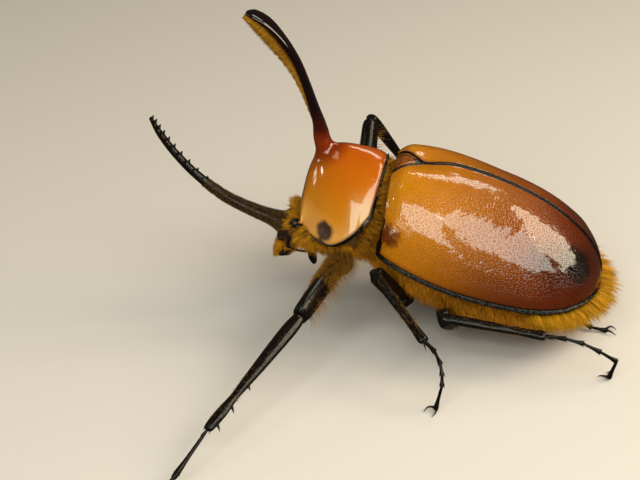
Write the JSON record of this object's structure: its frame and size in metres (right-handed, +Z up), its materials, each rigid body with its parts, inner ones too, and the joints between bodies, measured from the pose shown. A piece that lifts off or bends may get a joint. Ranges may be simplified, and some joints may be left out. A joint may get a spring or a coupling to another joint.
{
  "type": "rhinoceros beetle",
  "caption": "Life-size still model of a male rhinoceros beetle standing with legs spread, with a long toothed head horn and a tall brush-fronted thorax horn.",
  "frame": {"origin": "on the floor, under the middle of the whole animal's bounding box", "axes": "+Z up from the floor; the head points along -Y and the animal's left side is at +X"},
  "size_m": [0.1347, 0.0808, 0.0537],
  "materials": {
    "amber_shell": "glossy amber brown chitin, finely punctured",
    "orange_shell": "very glossy orange chitin",
    "black_horn": "glossy black chitin with dull brown hair at its base",
    "dark_red_horn": "glossy dark red to black chitin",
    "golden_hair": "golden yellow hair",
    "black_leg": "glossy black chitin",
    "dark_skin": "dark brown chitin, satin, with short hair",
    "eye_black": "glossy black, very finely faceted"
  },
  "bodies": {
    "root": {"elytron_left": "amber_shell", "elytron_right": "amber_shell", "scutellum": "dark_red_horn", "pronotum": "orange_shell", "thorax_horn": "dark_red_horn", "thorax_horn_brush": "golden_hair", "head": "dark_skin", "head_horn": "black_horn", "eye_left": "eye_black", "eye_right": "eye_black", "jaw_left": "black_horn", "jaw_right": "black_horn", "palp_left": "dark_skin", "palp_right": "dark_skin", "antenna_left": "dark_skin", "antenna_right": "dark_skin", "antenna_club_left": "black_leg", "antenna_club_right": "black_leg", "mouth_brush": "golden_hair", "prothorax": "golden_hair", "breast": "golden_hair", "abdomen": "dark_skin", "tail_fringe": "golden_hair", "front_coxa_left": "black_leg", "front_coxa_right": "black_leg", "middle_coxa_left": "black_leg", "middle_coxa_right": "black_leg", "hind_coxa_left": "black_leg", "hind_coxa_right": "black_leg", "front_femur_left": "black_leg", "front_femur_right": "black_leg", "middle_femur_left": "black_leg", "middle_femur_right": "black_leg", "hind_femur_left": "black_leg", "hind_femur_right": "black_leg", "front_tibia_left": "black_leg", "front_tibia_right": "black_leg", "middle_tibia_left": "black_leg", "middle_tibia_right": "black_leg", "hind_tibia_left": "black_leg", "hind_tibia_right": "black_leg", "front_tarsus_left": "black_leg", "front_tarsus_right": "black_leg", "middle_tarsus_left": "black_leg", "middle_tarsus_right": "black_leg", "hind_tarsus_left": "black_leg", "hind_tarsus_right": "black_leg"}
  },
  "joints": []
}
